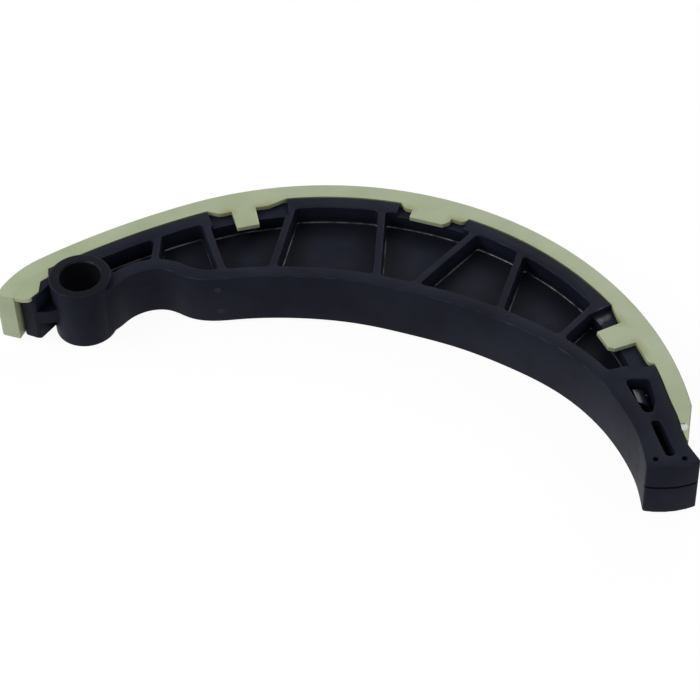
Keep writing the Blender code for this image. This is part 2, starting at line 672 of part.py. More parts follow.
def build_shoe(parts, cutters, root):
    """The pale slide shoe: strip, nose flange, clips and barbs."""
    c = RUNNING_EDGE_CHAMFER
    small, full = anticlockwise(shoe_outline(c)), anticlockwise(shoe_outline(0.0))
    layers = [(small, -HALF_RAIL), (full, c - HALF_RAIL), (full, HALF_RAIL - c), (small, HALF_RAIL)]
    shoe = stacked("slide_shoe", layers, parts, root)
    outer = HALF_RAIL - FLANGE_SET_BACK
    under = outer - FLANGE_THICKNESS
    flange = nose_flange_outline()
    boolean(shoe, stacked("nose_flange", [(flange, under), (flange, outer)], cutters, root), "UNION")
    for i, clip in enumerate(clips()):
        outline = clip_outline(clip)
        plate = stacked(f"clip_{i + 1}", [(outline, under), (outline, outer)], cutters, root)
        boolean(shoe, mirrored(plate), "UNION")
        if clip["long"]:
            base, tip = barb_outlines(clip)
            layers = [(tip, under - BARB_DROP), (base, under), (base, (under + outer) / 2)]
            boolean(shoe, mirrored(stacked(f"barb_{i + 1}", layers, cutters, root)), "UNION")
    first, last = TAIL_NOTCH
    notch = box_outline(FACE_END + first, FACE_END + last, TAIL_NOTCH_BED, SHOE_THICKNESS + OVERSHOOT)
    layers = [(notch, HALF_RAIL - TAIL_NOTCH_DEPTH), (notch, HALF_RAIL + OVERSHOOT)]
    boolean(shoe, mirrored(stacked("tail_notch", layers, cutters, root)), "DIFFERENCE")
    return shoe


def material(name, colour, roughness):
    """A plain plastic finish."""
    made = bpy.data.materials.new(name)
    made.use_nodes = True
    shader = made.node_tree.nodes["Principled BSDF"]
    shader.inputs["Base Color"].default_value = (*colour, 1.0)
    shader.inputs["Roughness"].default_value = roughness
    shader.inputs["Metallic"].default_value = 0.0
    made.diffuse_color = (*colour, 1.0)
    return made


def main():
    for old in list(bpy.data.objects):
        bpy.data.objects.remove(old)
    parts, cutters = collection("timing_chain_guide"), collection("cutters")
    plan = np.array(carrier_outline() + shoe_outline(0.0))
    low, high = plan.min(axis=0), plan.max(axis=0)
    root = bpy.data.objects.new("guide_root", None)
    parts.objects.link(root)
    root.location = (-(low[0] + high[0]) / 2 * MM, -(low[1] + high[1]) / 2 * MM, HALF_BOSS * MM)
    carrier = build_carrier(parts, cutters, root)
    carrier.data.materials.append(material("black_nylon", (0.017, 0.018, 0.026), 0.42))
    shoe = build_shoe(parts, cutters, root)
    shoe.data.materials.append(material("pale_nylon", (0.39, 0.45, 0.28), 0.38))


main()
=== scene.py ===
"""Looks of the timing chain guide: finer mouldings, nylon finishes, soft studio light, camera.

Both nodes are replaced by the same forms with finer curves and rounded edges.  Plan sizes are in
millimetres about the pivot, with +X towards the foot, and heights are from the middle plane.
"""

from math import atan2, cos, hypot, pi, radians, sin, tan

import bmesh
import bpy
import numpy as np
from mathutils import Matrix, Vector

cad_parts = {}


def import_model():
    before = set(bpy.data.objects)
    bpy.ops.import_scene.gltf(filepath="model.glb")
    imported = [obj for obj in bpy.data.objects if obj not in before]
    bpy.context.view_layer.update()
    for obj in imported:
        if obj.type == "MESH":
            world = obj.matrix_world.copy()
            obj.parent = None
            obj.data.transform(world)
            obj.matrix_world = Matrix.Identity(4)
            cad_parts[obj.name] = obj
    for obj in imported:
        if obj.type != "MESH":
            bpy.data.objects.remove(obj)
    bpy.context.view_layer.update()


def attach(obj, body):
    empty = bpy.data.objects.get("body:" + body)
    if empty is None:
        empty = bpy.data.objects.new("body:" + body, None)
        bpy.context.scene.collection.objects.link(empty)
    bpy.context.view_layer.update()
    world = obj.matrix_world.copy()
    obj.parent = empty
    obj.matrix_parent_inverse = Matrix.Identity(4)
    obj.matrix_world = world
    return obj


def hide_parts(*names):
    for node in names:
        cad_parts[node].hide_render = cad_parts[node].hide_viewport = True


MM = 0.001

# Running face: its heading at the nose end, and three tangent arcs from there to the tail, as
# radius and sweep; angles are in degrees
FIRST_HEADING = 96.0
NOSE_RADIUS, NOSE_SWEEP = 29.0, 37.0
LEAD_RADIUS, LEAD_SWEEP = 212.0, 13.0
CROWN_RADIUS, CROWN_SWEEP = 103.0, 105.5
TAIL_LENGTH = 12.4
TAIL_TIP = 0.4

# Rail and shoe sections
RAIL_WIDTH = 16.5
SHOE_THICKNESS = 5.5
SEAT_GAP = 0.3
OUTER_WALL = 4.4
CLIP_WALL_EXTRA = 1.6
INNER_WALL = 4.3
RIB_THICKNESS = 2.1
WEB_THICKNESS = 4.5
LAST_WALL_BEFORE_END = 19.2
POCKET_CORNER = 1.3
FLOOR_FILLET = 0.6
EDGE_CHAMFER = 0.35
RUNNING_EDGE_CHAMFER = 0.6

# Pivot boss, whose rim just clears the seat of the shoe
PIVOT_PAST_NOSE_ARC = 5.5
BORE_DIAMETER = 12.0
BORE_CHAMFER = 0.45
BOSS_WALL = 3.0
BOSS_PROUD = 1.75
BOSS_CLEARANCE = 0.3
BOSS_FILLET_WALL = 0.6

# Foot
FOOT_LENGTH = 20.3
FOOT_DEPTH = 16.4
FOOT_FLARE = 4.1
FOOT_FLARE_LENGTH = 26.3
FOOT_FLARE_RISE = (
    (0.0, 0.0), (0.15, 0.06), (0.35, 0.21), (0.55, 0.28), (0.72, 0.4), (0.87, 0.7), (1.0, 1.0),
)
FOOT_CORNER = 0.8
FOOT_END_BULGE = 1.2
FOOT_GROOVE_WIDTH = 0.7
FOOT_GROOVE_DEPTH = 0.9
PIN_HOLE_DIAMETER = 1.6
PIN_HOLE_DEPTH = 3.0
PIN_HOLES_PAST_FACE = ((18.0, 13.5), (18.7, 5.9))

# Ribs as stations of their outer and inner ends, from the nose: a share of the way from the pivot
# to the crown, past the crown's start, shares of the crown, and before the face's end
RIB_LEAD_SHARES = (0.676, 0.512)
RIB_PAST_CROWN_START = (1.8, -0.6)
RIB_CROWN_SHARES = ((0.1622, 0.0947), (0.3188, 0.3605), (0.4881, 0.4375), (0.5809, 0.6653))
RIB_BEFORE_FACE_END = (46.7, 38.5)

# Nose: the carrier's finger behind the boss, the web between them and the shoe's flange over both
FINGER_STATION = 2.4
FINGER_THICKNESS = 4.5
FINGER_CORNER = 1.6
NOSE_WEB_REACH = 14.3
NOSE_FLANGE = (
    (0.3, 2.5, 0.8), (1.4, 4.5, 1.2), (4.6, 5.4, 1.0), (7.2, 5.4, 1.0), (12.4, 2.8, 0.8), (16.4, 3.0, 0.8),
)
NOSE_FLANGE_END = 18.5

# Clips of the shoe, from the nose: a pad beside the strip, and a tab that reaches over the wall;
# a long tab passes a thicker wall and has a barb behind it
FLANGE_THICKNESS = 1.3
FLANGE_SET_BACK = 0.1
FLANGE_SINK = 1.2
BARB_THICKNESS = 1.5
BARB_TIP = 0.5
BARB_DROP = 1.3
BARB_INSET = 0.7
CLIP_1_PAST_CROWN_START = 4.2
CLIP_1_END_SHARE = 0.1543
CLIP_2_SHARES = (0.3468, 0.4649)
CLIP_3_BEFORE_FACE_END = (43.9, 17.3)
CLIP_PADS = (2.4, 2.1, 1.6)
CLIP_RAMPS_IN = (3.4, 1.7, 5.4)
CLIP_RAMPS_OUT = (6.0, 0.5, 0.9)
CLIP_TAB_OFFSETS = (7.2, 4.2, 7.4)
CLIP_TAB_WIDTHS = (7.8, 13.1, 9.2)
CLIP_REACHES = (9.9, 5.4, 9.5)
CLIP_BEVELS = (0.0, 1.8, 1.5)
CLIP_IS_LONG = (True, False, True)
POCKETS_BEHIND_LONG_TABS = (2, 7)
PAD_CORNER = 2.4
TAB_CORNER = 0.3

# Tail of the shoe
TAIL_NOTCH = (6.2, 8.9)
TAIL_NOTCH_BED = 3.3

# Depth of the concave side below the running face: past the pivot, at shares of the way from
# there to the crown, at shares of the crown, and before or past the face's end
CONCAVE_PAST_PIVOT = ((2.1, 23.6), (7.8, 22.9), (11.8, 21.6), (15.8, 21.0))
CONCAVE_LEAD_SHARES = (0.488, 0.596, 0.699, 0.840)
CONCAVE_AT_LEAD_SHARES = (21.6, 24.0, 29.2, 33.1)
CONCAVE_SHARES = (0.022, 0.136, 0.320, 0.449, 0.573, 0.694)
CONCAVE_AT_SHARES = (35.9, 38.9, 41.0, 40.7, 38.0, 33.7)
CONCAVE_PAST_FACE = ((-36.2, 27.7), (-11.6, 21.1), (4.0, 17.4))

# Two short hollows between the last pocket and the foot, past the face's end; a block stands in
# the first
SMALL_POCKET = ((-11.9, 8.9), (-2.9, 9.4), (1.3, 11.0), (0.9, 13.2), (-7.5, 14.9), (-13.9, 15.6))
SMALL_PAD = ((-10.9, 10.6), (-4.0, 10.7), (-5.2, 13.6), (-10.7, 13.9))
SMALL_PAD_DROP = 2.6
FOOT_SLOT = ((4.2, 11.0), (17.3, 9.2))
FOOT_SLOT_WIDTH = 2.7

# Roundness of the faceted curves
NOSE_FACETS, LEAD_FACETS, CROWN_FACETS = 16, 20, 150
CONCAVE_FACETS = 220
FLARE_FACETS = 48
FACET_MARGIN = 0.9
TURNED_FACETS = 128

# Rounding of outlines: the least turn that counts as a corner in degrees, the clearance around it
# in radii, and the most of a side that one corner takes
LEAST_TURN = 20.0
CORNER_CLEARANCE = 1.7
SIDE_SHARE = 0.45

CARRIER_EDGE = SHOE_THICKNESS + SEAT_GAP
POCKET_EDGE = CARRIER_EDGE + OUTER_WALL
RECESS_DEPTH = FLANGE_SET_BACK + FLANGE_THICKNESS + SEAT_GAP
BORE_RADIUS = BORE_DIAMETER / 2
BOSS_RADIUS = BORE_RADIUS + BOSS_WALL
PIVOT_DEPTH = CARRIER_EDGE + BOSS_RADIUS + BOSS_CLEARANCE
HALF_RAIL = RAIL_WIDTH / 2
HALF_BOSS = HALF_RAIL + BOSS_PROUD
OVERSHOOT = 1.5
CUT_HEIGHT = HALF_BOSS + OVERSHOOT


def running_arcs():
    """The running face's arcs as (start station, end station, start point, heading, radius)."""
    arcs = []
    station, point, heading = 0.0, (0.0, 0.0), radians(FIRST_HEADING)
    sizes = ((NOSE_RADIUS, NOSE_SWEEP), (LEAD_RADIUS, LEAD_SWEEP), (CROWN_RADIUS, CROWN_SWEEP))
    for radius, sweep in sizes:
        length = radius * radians(sweep)
        arcs.append((station, station + length, point, heading, radius))
        turned = heading - radians(sweep)
        point = (
            point[0] + radius * (sin(heading) - sin(turned)),
            point[1] + radius * (cos(turned) - cos(heading)),
        )
        station, heading = station + length, turned
    return arcs


ARCS = running_arcs()
FACE_END = ARCS[-1][1]
PIVOT_STATION = ARCS[0][1] + PIVOT_PAST_NOSE_ARC


def crown(share):
    """Station at a share of the crown's length."""
    start, end = ARCS[-1][:2]
    return start + (end - start) * share


def lead(share):
    """Station at a share of the way from the pivot to the crown."""
    return PIVOT_STATION + (ARCS[-1][0] - PIVOT_STATION) * share


def ribs():
    """Stations of each rib's outer and inner end."""
    first, second, last = RIB_LEAD_SHARES, RIB_PAST_CROWN_START, RIB_BEFORE_FACE_END
    stations = [(lead(first[0]), lead(first[1])), (crown(0.0) + second[0], crown(0.0) + second[1])]
    stations += [(crown(outer), crown(inner)) for outer, inner in RIB_CROWN_SHARES]
    return stations + [(FACE_END - last[0], FACE_END - last[1])]


def clips():
    """The shoe's clips, as dictionaries of sizes and places."""
    spans = (
        (crown(0.0) + CLIP_1_PAST_CROWN_START, crown(CLIP_1_END_SHARE)),
        (crown(CLIP_2_SHARES[0]), crown(CLIP_2_SHARES[1])),
        (FACE_END - CLIP_3_BEFORE_FACE_END[0], FACE_END - CLIP_3_BEFORE_FACE_END[1]),
    )
    result = []
    for i, (start, end) in enumerate(spans):
        tab_in = start + CLIP_TAB_OFFSETS[i]
        result.append({
            "start": start, "end": end, "pad": CLIP_PADS[i], "ramps": (CLIP_RAMPS_IN[i], CLIP_RAMPS_OUT[i]),
            "tab": (tab_in, tab_in + CLIP_TAB_WIDTHS[i]), "reach": CLIP_REACHES[i], "bevel": CLIP_BEVELS[i],
            "long": CLIP_IS_LONG[i], "wall": POCKET_EDGE + (CLIP_WALL_EXTRA if CLIP_IS_LONG[i] else 0.0),
        })
    return result


def face_frame(station):
    """Point and heading of the running face; past either end it runs on straight."""
    for start, end, point, heading, radius in ARCS:
        if station <= end:
            break
    along = min(max(station, start), end) - start
    turned = heading - along / radius
    x = point[0] + radius * (sin(heading) - sin(turned))
    y = point[1] + radius * (cos(turned) - cos(heading))
    beyond = station - start - along
    return x + beyond * cos(turned), y + beyond * sin(turned), turned


def raw_place(station, depth):
    """Plan point before the guide is set level on its pivot and foot."""
    x, y, heading = face_frame(station)
    return x + depth * sin(heading), y - depth * cos(heading)


FOOT_STATION = FACE_END + FOOT_LENGTH
RAW_PIVOT = raw_place(PIVOT_STATION, PIVOT_DEPTH)
RAW_FOOT = raw_place(FOOT_STATION, (CARRIER_EDGE - FOOT_FLARE + FOOT_DEPTH) / 2)
LEVEL = -atan2(RAW_FOOT[1] - RAW_PIVOT[1], RAW_FOOT[0] - RAW_PIVOT[0])


def place(station, depth):
    """Plan point about the pivot, with +X towards the middle of the foot."""
    x, y = raw_place(station, depth)
    x, y = x - RAW_PIVOT[0], y - RAW_PIVOT[1]
    return x * cos(LEVEL) - y * sin(LEVEL), x * sin(LEVEL) + y * cos(LEVEL)


def face_stations(first, last):
    """The shared facet stations between two stations, with both ends."""
    grid = []
    for (start, end, *_), facets in zip(ARCS, (NOSE_FACETS, LEAD_FACETS, CROWN_FACETS)):
        grid += [start + (end - start) * i / facets for i in range(facets)]
    grid.append(FACE_END)
    return [first] + [s for s in grid if first + FACET_MARGIN < s < last - FACET_MARGIN] + [last]


def face_edge(first, last, depth):
    """An edge that runs along the guide at one depth."""
    return [place(s, depth) for s in face_stations(first, last)]


def smooth_curve(points, count):
    """A natural cubic spline through the points, as count even steps."""
    knots = np.array(points, float)
    steps = np.hypot(*np.diff(knots, axis=0).T)
    where = np.concatenate([[0.0], np.cumsum(steps)])
    n = len(knots)
    matrix, right = np.eye(n), np.zeros((n, 2))
    for i in range(1, n - 1):
        matrix[i, i - 1 : i + 2] = steps[i - 1], 2 * (steps[i - 1] + steps[i]), steps[i]
        slopes = (knots[i + 1] - knots[i]) / steps[i] - (knots[i] - knots[i - 1]) / steps[i - 1]
        right[i] = 6 * slopes
    bend = np.linalg.solve(matrix, right)
    curve = []
    for along in np.linspace(0.0, where[-1], count + 1):
        i = min(int(np.searchsorted(where, along, side="right")) - 1, n - 2)
        a, b = where[i + 1] - along, along - where[i]
        h = steps[i]
        value = (bend[i] * a**3 + bend[i + 1] * b**3) / (6 * h)
        value = value + (knots[i] / h - bend[i] * h / 6) * a + (knots[i + 1] / h - bend[i + 1] * h / 6) * b
        curve.append((float(value[0]), float(value[1])))
    return curve


def arc(centre, radius, first, last, facets):
    """Points of an arc between two angles in radians."""
    turns = [first + (last - first) * i / facets for i in range(facets + 1)]
    return [(centre[0] + radius * cos(a), centre[1] + radius * sin(a)) for a in turns]


def shifted(points, distance):
    """An open edge moved sideways to its left."""
    moved = []
    for i, (x, y) in enumerate(points):
        x0, y0 = points[max(i - 1, 0)]
        x1, y1 = points[min(i + 1, len(points) - 1)]
        length = hypot(x1 - x0, y1 - y0)
        moved.append((x - distance * (y1 - y0) / length, y + distance * (x1 - x0) / length))
    return moved


def inset(outline, distance):
    """A closed anticlockwise outline moved inwards, or outwards with a negative distance."""
    moved = []
    for i, (x, y) in enumerate(outline):
        x0, y0 = outline[i - 1]
        x1, y1 = outline[(i + 1) % len(outline)]
        before = ((x - x0) / hypot(x - x0, y - y0), (y - y0) / hypot(x - x0, y - y0))
        after = ((x1 - x) / hypot(x1 - x, y1 - y), (y1 - y) / hypot(x1 - x, y1 - y))
        normal = (-before[1] - after[1], before[0] + after[0])
        reach = 2 * distance / max(normal[0] ** 2 + normal[1] ** 2, 0.8)
        moved.append((x + normal[0] * reach, y + normal[1] * reach))
    return moved


def corner_turn(outline, i):
    """Directions before and after a point of a closed outline, their lengths and the turn."""
    x, y = outline[i][:2]
    x0, y0 = outline[i - 1][:2]
    x1, y1 = outline[(i + 1) % len(outline)][:2]
    before, after = hypot(x - x0, y - y0), hypot(x1 - x, y1 - y)
    u, v = ((x - x0) / before, (y - y0) / before), ((x1 - x) / after, (y1 - y) / after)
    turn = atan2(u[0] * v[1] - u[1] * v[0], u[0] * v[0] + u[1] * v[1])
    return u, v, before, after, turn


def rounded(outline, radius, facets=3):
    """A closed outline with its sharp corners rounded; a point may carry its own radius."""
    corners = []
    for i, point in enumerate(outline):
        turn = corner_turn(outline, i)[-1]
        sharp = abs(turn) > radians(LEAST_TURN)
        corner = point[2] if len(point) > 2 else radius
        corners.append((point[0], point[1], corner if sharp else 0.0, sharp))
    reaches = [(x, y, r * CORNER_CLEARANCE) for x, y, r, sharp in corners if r > 0]
    near = lambda p: any(hypot(p[0] - x, p[1] - y) < reach for x, y, reach in reaches)
    corners = [p for p in corners if p[3] or not near(p)]
    result = []
    for i, (x, y, corner, sharp) in enumerate(corners):
        u, v, before, after, turn = corner_turn(corners, i)
        if corner <= 0:
            result.append((x, y))
            continue
        reach = min(corner * tan(abs(turn) / 2), SIDE_SHARE * before, SIDE_SHARE * after)
        fitted = reach / tan(abs(turn) / 2)
        side = 1 if turn > 0 else -1
        start = (x - u[0] * reach, y - u[1] * reach)
        centre = (start[0] - side * u[1] * fitted, start[1] + side * u[0] * fitted)
        first = atan2(start[1] - centre[1], start[0] - centre[0])
        result += arc(centre, fitted, first, first + turn, facets)
    return result


def anticlockwise(outline):
    """The outline in anticlockwise order."""
    area = sum(outline[i - 1][0] * p[1] - p[0] * outline[i - 1][1] for i, p in enumerate(outline))
    return list(outline) if area > 0 else list(reversed(outline))


def stretch(points, inside):
    """The stretch of an edge where the function inside is positive, cut exactly at its ends."""
    result = []
    values = [inside(p) for p in points]
    for i, point in enumerate(points):
        if i and (values[i] > 0) != (values[i - 1] > 0):
            share = values[i - 1] / (values[i - 1] - values[i])
            x0, y0 = points[i - 1]
            result.append((x0 + (point[0] - x0) * share, y0 + (point[1] - y0) * share))
        if values[i] > 0:
            result.append(point)
    return result


def right_of(start, end):
    """How far a point lies to the right of a line, as a function of the point."""
    length = hypot(end[0] - start[0], end[1] - start[1])
    ux, uy = (end[0] - start[0]) / length, (end[1] - start[1]) / length
    return lambda p: (p[0] - start[0]) * uy - (p[1] - start[1]) * ux


def concave_knots():
    """Station and depth of the concave side, from inside the boss to the foot."""
    knots = [(PIVOT_STATION + s, d) for s, d in CONCAVE_PAST_PIVOT]
    knots += [(lead(share), d) for share, d in zip(CONCAVE_LEAD_SHARES, CONCAVE_AT_LEAD_SHARES)]
    knots += [(crown(share), d) for share, d in zip(CONCAVE_SHARES, CONCAVE_AT_SHARES)]
    return knots + [(FACE_END + s, d) for s, d in CONCAVE_PAST_FACE]


def concave_edge():
    """The rail's concave side, from inside the boss to the foot's corner."""
    points = [place(*knot) for knot in concave_knots()]
    points += [place(FACE_END + FOOT_LENGTH / 2, FOOT_DEPTH), place(FOOT_STATION, FOOT_DEPTH)]
    return smooth_curve(points, CONCAVE_FACETS)


def flare_knots():
    """Station and depth of the rail's outer side from the end of its arc to the foot's corner."""
    first = FOOT_STATION - FOOT_FLARE_LENGTH
    return [(first + FOOT_FLARE_LENGTH * u, CARRIER_EDGE - FOOT_FLARE * v) for u, v in FOOT_FLARE_RISE]


def flare_edge(lift=0.0):
    """The flare's edge in plan, lifted off the rail by a gap."""
    return [place(s, d - lift) for s, d in smooth_curve(flare_knots(), FLARE_FACETS)]


def trimmed(points, distance):
    """An edge without the points that lie too near its last one to round the corner there."""
    x, y = points[-1]
    return [p for p in points[:-1] if hypot(p[0] - x, p[1] - y) > distance] + [points[-1]]


def foot_end():
    """Points of the foot's gently bulging end face, without its two corners."""
    first, last = CARRIER_EDGE - FOOT_FLARE, FOOT_DEPTH
    shares = (0.2, 0.4, 0.6, 0.8)
    bulge = lambda u: FOOT_END_BULGE * 4 * u * (1 - u)
    return [place(FOOT_STATION + bulge(u), first + (last - first) * u) for u in shares]


def carrier_outline():
    """The carrier seen along the pivot, anticlockwise, without its boss."""
    outer = face_edge(FINGER_STATION, FOOT_STATION - FOOT_FLARE_LENGTH, CARRIER_EDGE)
    flare = trimmed(flare_edge(), FOOT_CORNER * 1.5)[1:]
    concave = list(reversed(trimmed(concave_edge(), FOOT_CORNER * 1.5)))
    inner_depth = CARRIER_EDGE + FINGER_THICKNESS
    web_front = place(FINGER_STATION + NOSE_WEB_REACH - inner_depth, NOSE_WEB_REACH)
    tip = place(FINGER_STATION, inner_depth)
    corners = [(*outer[0], FINGER_CORNER)] + [(*p, 0) for p in outer[1:] + flare[:-1]]
    corners += [(*flare[-1], FOOT_CORNER)] + [(*p, 0) for p in foot_end()]
    corners += [(*concave[0], FOOT_CORNER)] + [(*p, 0) for p in concave[1:]]
    corners += [(0.0, -BOSS_RADIUS / 2, 0), (*web_front, 0), (*tip, FINGER_CORNER)]
    return anticlockwise(rounded(corners, 0.0, facets=4))


def rib_lines():
    """Each rib's centre line, from the outer wall to the concave side."""
    stations, depths = zip(*concave_knots())
    return [(place(a, POCKET_EDGE), place(b, float(np.interp(b, stations, depths)))) for a, b in ribs()]


def pocket_outlines():
    """Outlines of the large pockets between the walls, the boss, the ribs and the last wall."""
    inner = shifted(concave_edge(), INNER_WALL)
    half = RIB_THICKNESS / 2
    lines = rib_lines()
    around_boss = BOSS_RADIUS + BOSS_FILLET_WALL
    last_station = FACE_END - LAST_WALL_BEFORE_END
    last = (place(last_station, 0.0), place(last_station, POCKET_EDGE * 2))
    lefts = [lambda p: hypot(*p) - around_boss] + [lambda p, r=r: -right_of(*r)(p) - half for r in lines]
    rights = [lambda p, r=r: right_of(*r)(p) - half for r in lines] + [right_of(*last)]
    outlines = []
    for i, (left, right) in enumerate(zip(lefts, rights)):
        depth = POCKET_EDGE + (CLIP_WALL_EXTRA if i in POCKETS_BEHIND_LONG_TABS else 0.0)
        outer = face_edge(PIVOT_STATION, last_station + OVERSHOOT, depth)
        within = lambda p, left=left, right=right: min(left(p), right(p))
        top, bottom = stretch(outer, within), stretch(inner, within)
        outline = top + list(reversed(bottom))
        if i == 0:
            first = atan2(bottom[0][1], bottom[0][0])
            final = atan2(top[0][1], top[0][0])
            outline += arc((0.0, 0.0), around_boss, first, final, 6)[1:-1]
        outlines.append(anticlockwise(rounded(outline, POCKET_CORNER)))
    return outlines


def small_pocket_outline():
    """The shallow hollow before the foot."""
    return anticlockwise(rounded([place(FACE_END + s, d) for s, d in SMALL_POCKET], POCKET_CORNER))


def foot_slot_outline():
    """The narrow slot in the foot."""
    (s0, d0), (s1, d1) = FOOT_SLOT
    half = FOOT_SLOT_WIDTH / 2
    corners = [(s0, d0 - half), (s0, d0 + half), (s1, d1 + half), (s1, d1 - half)]
    return anticlockwise(rounded([place(FACE_END + s, d) for s, d in corners], POCKET_CORNER))


def recess_outline(clip):
    """The lowered part of the outer wall that takes one clip."""
    first, last = clip["start"] - SEAT_GAP, clip["end"] + SEAT_GAP
    edge = face_edge(first, last, CARRIER_EDGE - OVERSHOOT)
    return anticlockwise(edge + list(reversed(face_edge(first, last, clip["wall"] + RIB_THICKNESS / 2))))


def box_outline(first, last, low, high):
    """A plain outline between two stations and two depths."""
    return anticlockwise([place(s, d) for s, d in ((first, low), (last, low), (last, high), (first, high))])


def barb_outlines(clip):
    """The barb behind one tab, at its root and at its tip."""
    wall = clip["wall"] + SEAT_GAP
    first, last = clip["tab"][0] + BARB_INSET, clip["tab"][1] - clip["bevel"] - BARB_INSET
    return [box_outline(first, last, wall, wall + thickness) for thickness in (BARB_THICKNESS, BARB_TIP)]


def nose_flange_outline():
    """The shoe's flange over the carrier's finger, sunk a little into the strip."""
    points = [(*place(s, SHOE_THICKNESS + d), r) for s, d, r in NOSE_FLANGE]
    last, rise, _ = NOSE_FLANGE[-1]
    run = (NOSE_FLANGE_END - last) * (rise + FLANGE_SINK) / rise
    sunk = reversed(face_edge(NOSE_FLANGE[0][0], last + run, SHOE_THICKNESS - FLANGE_SINK))
    return anticlockwise(rounded(points + [(*p, 0) for p in sunk], 0.0))


def clip_outline(clip):
    """One clip of the shoe: the pad beside the strip and the tab that reaches over the wall."""
    ramp_in, ramp_out = clip["ramps"]
    tab_in, tab_out = clip["tab"]
    pad, tip, bevel = SHOE_THICKNESS + clip["pad"], SHOE_THICKNESS + clip["reach"], clip["bevel"]
    corners = [
        (clip["start"] + ramp_in, pad, PAD_CORNER), (tab_in, pad, TAB_CORNER), (tab_in, tip, TAB_CORNER),
        (tab_out - bevel, tip, TAB_CORNER), (tab_out, tip - bevel, TAB_CORNER),
        (tab_out, pad, TAB_CORNER), (clip["end"] - ramp_out, pad, PAD_CORNER),
    ]
    if not bevel:
        del corners[4]
    sink = FLANGE_SINK / clip["pad"]
    first, last = clip["start"] - ramp_in * sink, clip["end"] + ramp_out * sink
    sunk = reversed(face_edge(first, last, SHOE_THICKNESS - FLANGE_SINK))
    points = [(*place(s, d), r) for s, d, r in corners] + [(*p, 0) for p in sunk]
    return anticlockwise(rounded(points, 0.0))


def shoe_outline(chamfer):
    """The strip seen along the pivot: running face, tail, seat and nose end."""
    tail_station = FACE_END + TAIL_LENGTH
    stations, depths = zip(*flare_knots())
    tail_drop = float(np.interp(tail_station, stations, depths)) - SEAT_GAP - TAIL_TIP
    tip = place(tail_station, tail_drop + chamfer / 3)
    past_tip = right_of(place(tail_station, 0.0), place(tail_station, SHOE_THICKNESS))
    lifted = stretch(flare_edge(SEAT_GAP), past_tip)
    seat = list(reversed(face_edge(0.0, FOOT_STATION - FOOT_FLARE_LENGTH, SHOE_THICKNESS)))
    return face_edge(0.0, FACE_END, chamfer) + [tip] + list(reversed(lifted[1:])) + seat


# Height of the middle plane above the ground, then rounded edges, finer facets, the shoe's flanges
# and tail notch as shown, the angle that stays sharp in degrees and the slivers that are removed
MIDDLE = 10.0
EDGE_STEPS = 3
MOUTH_ROUND = 0.3
FLANGE_ROUND = 0.18
FLANGE_SET_BACK_SHOWN = 0.02
NOTCH_SHOWN = 0.4
PIN_HOLE_FACETS = 24
SHARP_ANGLE = 32
SLIVER = 0.002

# The block in the small pocket: the rise of its high edge, its top's slopes at the high and the
# low edge in degrees, and the strips between them
PAD_CROWN = 0.7
PAD_SLOPES = (4.0, 34.0)
PAD_STRIPS = 6

# Marks on the carrier's walls as plan places with heights, and their radii: two pin marks, and a small pit
# drawn only as painted shade
PIN_MARKS = ((36.11, 15.51, 4.0), (36.45, 15.69, -4.5))
PIN_MARK_RADIUS = 1.2
SMALL_PIT = (167.98, 4.27, -2.25)
SMALL_PIT_RADIUS = 1.1

# Glossy spots: radius and gloss on the block, and past the face's end in the last recess as
# station, depth, radius and gloss
BLOCK_SPOT = (4.2, 0.6)
RECESS_SPOTS = ((-43.0, 9.2, 2.6, 0.45), (-41.6, 11.6, 1.8, 0.45))

# Painted yellow shade at the free edges of the shoe's pads, where the black carrier lies under the thin
# nylon: distances from the tab, radius and share
EDGE_SHADES_BEFORE_TAB = (0.5, 2.6)
EDGE_SHADES_PAST_TAB = (0.5, 2.6, 4.7)
EDGE_SHADE_RADIUS = 2.6
EDGE_SHADE_SHARE = 0.55

# Colours of the black nylon, the painted shade in its hollows, the boss face, the painted shade in the
# bore, the marks and the painted shade of the small pit
BLACK_LOW, BLACK_HIGH = (0.0065, 0.0077, 0.0158), (0.0130, 0.0150, 0.0272)
HOLLOW_SHADE_COLOUR = (0.0032, 0.0036, 0.0066)
BOSS_COLOUR = (0.0030, 0.0032, 0.0048)
BORE_SHADE_COLOUR = (0.0020, 0.0022, 0.0034)
PIN_MARK_COLOUR = (0.034, 0.032, 0.036)
PIT_SHADE_COLOUR = (0.0015, 0.0015, 0.0025)

# Colours of the pale nylon, the painted shade in its corners and at the free edges of its pads, and the
# painted highlight in the tail notch
PALE_LOW, PALE_HIGH = (0.372, 0.436, 0.262), (0.462, 0.520, 0.345)
CORNER_SHADE_COLOUR = (0.30, 0.28, 0.10)
EDGE_SHADE_COLOUR = (0.30, 0.29, 0.11)
NOTCH_HIGHLIGHT_COLOUR = (0.86, 0.88, 0.86)

# Backdrop, in metres: the floor's half width and its drop below the object, its glow and the
# glow's share in the rays that see it, and the world's light in all other rays
FLOOR_HALF = 6.0
FLOOR_DROP = 0.00005
FLOOR_GLOW = 1.03
FLOOR_GLOW_SHARE = 0.92
WORLD_LIGHT = 0.26

# Lamps aimed at the object: name, place, width and height in metres, and watts
LAMPS = (
    ("key", (-0.60, -0.46, 0.78), 0.7, 0.7, 5.9),
    ("fill", (0.8, -0.25, 0.55), 0.5, 0.5, 0.6),
    ("back", (0.1, 0.8, 0.6), 0.8, 0.4, 2.2),
)

# The photograph's view: directions before the roll, roll in degrees, the point looked at as plan
# sizes and height above the ground, its distance in metres, lens and sensor width
VIEW_FORWARD, VIEW_RIGHT = (-0.3098, 0.6257, -0.7159), (0.8962, 0.4437, 0.0)
VIEW_ROLL = -2.424
VIEW_POINT = (75.10, 20.87, -0.18)
VIEW_DISTANCE = 0.6474
VIEW_LENS, VIEW_SENSOR = 115.36, 36.0


